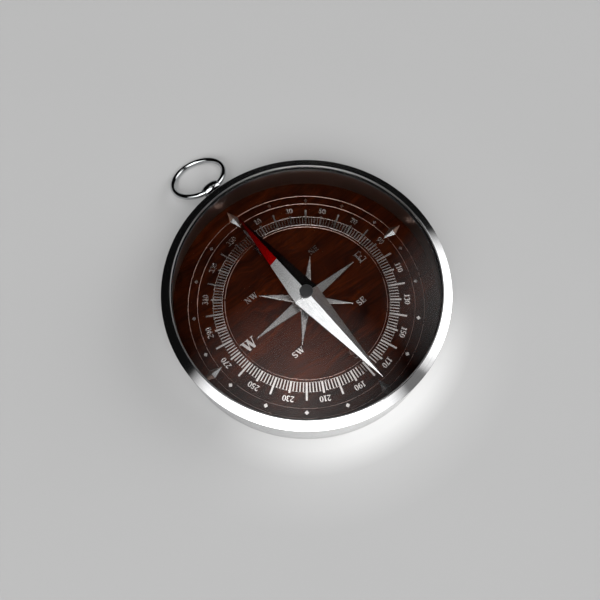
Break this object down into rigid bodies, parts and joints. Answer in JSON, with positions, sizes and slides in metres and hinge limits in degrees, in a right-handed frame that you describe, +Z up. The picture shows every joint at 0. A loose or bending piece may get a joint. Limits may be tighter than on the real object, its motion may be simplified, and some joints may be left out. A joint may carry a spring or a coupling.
{
  "type": "pocket compass",
  "caption": "Round open-face pocket compass: steel case with sloping bezel and flat glass, wood dial with raised degree scale, pivoted needle, and a bow ring on a stud.",
  "frame": {"origin": "centre of the flat resting face under the case", "axes": "+Z up through the glass, +Y to the dial's north and the bow ring, +X to the dial's east"},
  "size_m": [0.06, 0.0759, 0.0119],
  "materials": {
    "case_steel": "plain satin steel, polished like a mirror on the inside of the wall",
    "bezel_steel": "finely brushed round the bezel, with a polished inner edge",
    "clear_glass": "flat polished glass",
    "gasket_rubber": "thin black gasket",
    "spring_steel": "plain spring steel",
    "dial_wood": "dark red-brown veneer with the grain from east to west, satin varnish",
    "line_metal": "fine pale metal line",
    "scale_metal": "pale satin metal",
    "marker_metal": "faceted and polished",
    "rose_metal": "brushed, with bright bevels",
    "pivot_brass": "turned brass",
    "needle_enamel": "white facets, with the north end painted red",
    "cap_gunmetal": "dark polished cap",
    "bearing_jewel": "polished synthetic jewel",
    "bow_chrome": "bright polished"
  },
  "bodies": {
    "case": {"case_pan": "case_steel", "bezel": "bezel_steel", "glass": "clear_glass", "glass_gasket": "gasket_rubber", "glass_retaining_ring": "spring_steel", "wood_dial": "dial_wood", "outer_ring": "line_metal", "numeral_ring": "line_metal", "degree_scale": "scale_metal", "scale_inner_ring": "line_metal", "degree_numerals": "scale_metal", "diamond_markers": "marker_metal", "cardinal_markers": "marker_metal", "rose_cardinal_rays": "rose_metal", "rose_intercardinal_rays": "rose_metal", "cardinal_letters": "scale_metal", "intercardinal_letters": "scale_metal", "pivot_base": "pivot_brass", "pivot_post": "spring_steel", "bow_stud": "bow_chrome", "stud_collar": "bow_chrome"},
    "needle": {"needle": "needle_enamel", "needle_cap": "cap_gunmetal", "jewel_bearing": "bearing_jewel"},
    "bow": {"bow_ring": "bow_chrome"}
  },
  "joints": [
    {"name": "needle_spin", "type": "hinge", "parent": "case", "child": "needle", "pos_m": [0, 0, 0.0063], "axis": [0, 0, 1], "continuous": true},
    {"name": "bow_swing", "type": "hinge", "parent": "case", "child": "bow", "pos_m": [0, 0.0336, 0.0057], "axis": [1, 0, 0], "range_deg": [-96, 144]}
  ]
}
